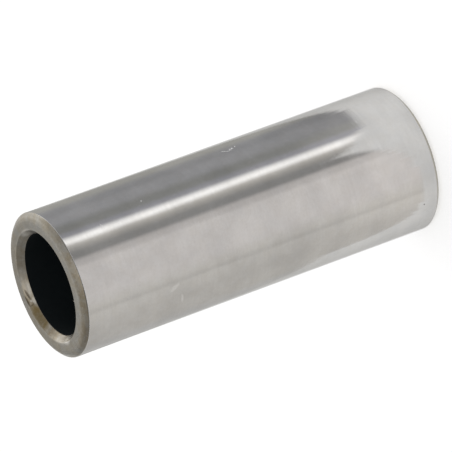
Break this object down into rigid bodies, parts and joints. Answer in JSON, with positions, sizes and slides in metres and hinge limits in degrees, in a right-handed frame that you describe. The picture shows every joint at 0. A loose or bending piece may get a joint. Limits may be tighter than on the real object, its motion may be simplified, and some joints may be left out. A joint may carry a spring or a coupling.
{
  "type": "gudgeon pin",
  "caption": "Hollow cylindrical steel pin with chamfered ends and an open bore, ground outside; it joins an engine piston to the small end of its connecting rod.",
  "frame": {"origin": "centre of the lower end face, on the pin's axis; the pin stands on this face", "axes": "+Z along the pin's axis, upwards; X and Y lie in the end face, and any turn about Z is the same"},
  "size_m": [0.02, 0.02, 0.055],
  "materials": {
    "ground_steel": "fine ground outside with a lay round the axis, duller turned chamfers and end faces, dark scale in the bore"
  },
  "bodies": {
    "root": {"gudgeon_pin": "ground_steel"}
  },
  "joints": []
}
